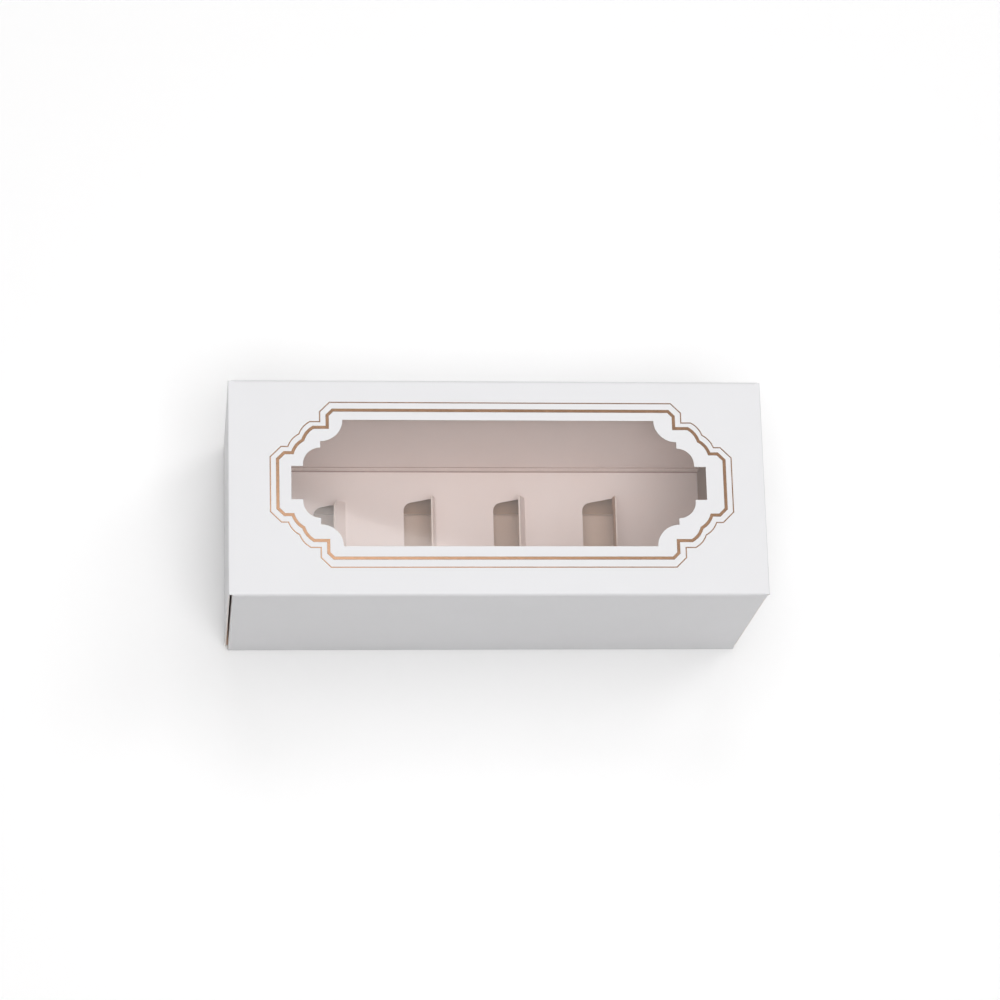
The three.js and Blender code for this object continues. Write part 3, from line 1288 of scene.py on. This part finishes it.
@dataclass(frozen=True)
class Carton:
    """The sleeve with what is glued and stamped on it."""

    sleeve: Sleeve = Sleeve()
    outer_line: FoilLine = FoilLine(
        name="outer_foil_line",
        node="foil_outer_line",
        width=0.4,
        half_length=77.5,
        half_depth=28.6,
        corner_cut=3.3,
        drop=3.5,
        run=3.3,
        sweep=(7.4, 8.7),
        ear_run=2.3,
        ear_cut=3.6,
        centre=(1.5, 0.9),
    )
    inner_line: FoilLine = FoilLine(
        name="inner_foil_line",
        node="foil_inner_line",
        width=1.1,
        half_length=75.05,
        half_depth=25.67,
        corner_cut=1.8,
        drop=4.25,
        run=4.7,
        sweep=(7.0, 8.9),
        ear_run=2.75,
        ear_cut=2.2,
        centre=(1.5, 1.1),
    )

    def build(self, finishes: Finishes) -> list[bpy.types.Object]:
        """Makes the sleeve and its foil lines.

        Args:
            finishes: The shared materials.

        Returns:
            The pieces.
        """
        return [
            self.sleeve.build(finishes),
            self.outer_line.build(finishes),
            self.inner_line.build(finishes),
        ]

    def dress(self, finishes: Finishes) -> bpy.types.Object:
        """Gives the window film its finish.

        Args:
            finishes: The shared materials.

        Returns:
            The film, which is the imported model's own node.
        """
        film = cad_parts["window_film"]
        film.data.materials.clear()
        film.data.materials.append(finishes.film)
        return film


@dataclass(frozen=True)
class Softbox:
    """A rectangular white studio light, aimed at a point. Distances here are in metres."""

    name: str
    place: Point3
    size: Point2
    radiance: float
    aim: Point3 = (0.0, 0.0, 0.05)
    spin: float = 0.0

    def build(self) -> bpy.types.Object:
        """Makes the light.

        Returns:
            The light's object.
        """
        data = bpy.data.lights.new(self.name, "AREA")
        data.shape = "RECTANGLE"
        data.size, data.size_y = self.size
        data.energy = self.radiance * math.pi * self.size[0] * self.size[1]
        light = bpy.data.objects.new(self.name, data)
        bpy.context.scene.collection.objects.link(light)
        light.location = self.place
        toward = Vector(self.aim) - Vector(self.place)
        turn = toward.to_track_quat("-Z", "Y") @ Quaternion((0, 0, 1), math.radians(self.spin))
        light.rotation_euler = turn.to_euler()
        return light


@dataclass(frozen=True)
class Studio:
    """The floor, the lights and the camera. Distances here are in metres."""

    floor_side: float = 6.0
    room: str = "#fdf8f7"
    zenith_strength: float = 0.05
    horizon_strength: float = 0.23
    horizon_band: Point2 = (0.2, 0.75)
    camera_place: Point3 = (-0.1125, -0.3287, 1.1775)
    camera_turn: Point3 = (16.454, -5.407, -1.503)
    sensor_mm: float = 36.0
    lens_mm: float = 124.66
    camera_range: Point2 = (0.01, 50.0)

    def build(self) -> None:
        """Makes the whole studio."""
        self._floor()
        self._room()
        for box in self._softboxes():
            box.build()
        self._camera()

    def _floor(self) -> None:
        """Lays the paper that the box stands on."""
        half = self.floor_side / 2 / MM
        corners = [(-half, -half, 0.0), (half, -half, 0.0), (half, half, 0.0), (-half, half, 0.0)]
        paper = surface_object("floor", corners, [(0, 1, 2, 3)], StudioPaper().build())

    def _room(self) -> None:
        """Fills the room with soft light, paler at the walls than at the ceiling."""
        world = bpy.data.worlds.new("studio")
        world.use_nodes = True
        tree = world.node_tree
        tree.nodes.clear()
        toward = add_node(tree, "ShaderNodeTexCoord").outputs["Generated"]
        height = add_node(tree, "ShaderNodeSeparateXYZ", inputs={"Vector": toward})
        strength = add_node(
            tree,
            "ShaderNodeMapRange",
            {"interpolation_type": "SMOOTHSTEP"},
            {
                "Value": height.outputs["Z"],
                "From Min": self.horizon_band[0],
                "From Max": self.horizon_band[1],
                "To Min": self.horizon_strength,
                "To Max": self.zenith_strength,
            },
        )
        sky = add_node(
            tree,
            "ShaderNodeBackground",
            inputs={"Color": linear(self.room), "Strength": strength.outputs["Result"]},
        )
        add_node(tree, "ShaderNodeOutputWorld", inputs={"Surface": sky.outputs["Background"]})
        bpy.context.scene.world = world

    def _softboxes(self) -> list[Softbox]:
        """Gives the lights.

        Returns:
            Two that face straight down, then four that are aimed at the box.
        """
        return [
            Softbox("overhead_softbox", (-0.17, -0.04, 1.9), (1.8, 1.2), 1.6, (-0.17, -0.04, 0.0), -17.5),
            Softbox("ceiling_bounce", (-0.35, 0.2, 2.3), (3.2, 1.8), 0.6, (-0.35, 0.2, 0.0)),
            Softbox("key_softbox", (0.05, -0.68, 1.84), (1.1, 0.7), 5.5),
            Softbox("front_softbox", (0.0, -1.0, 1.6), (0.8, 0.6), 0.9),
            Softbox("back_softbox", (0.0, 1.05, 1.6), (0.8, 0.6), 3.8),
            Softbox("right_softbox", (0.95, 0.6, 1.6), (0.7, 0.7), 3.5),
        ]

    def _camera(self) -> None:
        """Sets up the camera where the photograph was taken from."""
        data = bpy.data.cameras.new("camera")
        data.sensor_width = self.sensor_mm
        data.lens = self.lens_mm
        data.clip_start, data.clip_end = self.camera_range
        camera = bpy.data.objects.new("camera", data)
        camera.location = self.camera_place
        camera.rotation_euler = Euler([math.radians(a) for a in self.camera_turn])
        bpy.context.scene.collection.objects.link(camera)
        bpy.context.scene.camera = camera
        bpy.context.scene.view_settings.view_transform = "Standard"


def main() -> None:
    """Builds the sub-assemblies in order."""
    logging.basicConfig(level=logging.INFO, format="%(name)s: %(message)s")
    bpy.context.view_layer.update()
    Studio().build()
    finishes = Finishes.build()
    carton = Carton()
    pieces = [
        *carton.build(finishes),
        carton.dress(finishes),
        Insert().build(finishes),
        *Closure(End.LEFT, Body.LEFT_END, "left_closure", carton.sleeve.left_gap).build(finishes),
        *Closure(End.RIGHT, Body.RIGHT_END, "right_closure").build(finishes),
    ]


if __name__ == "__main__":
    main()
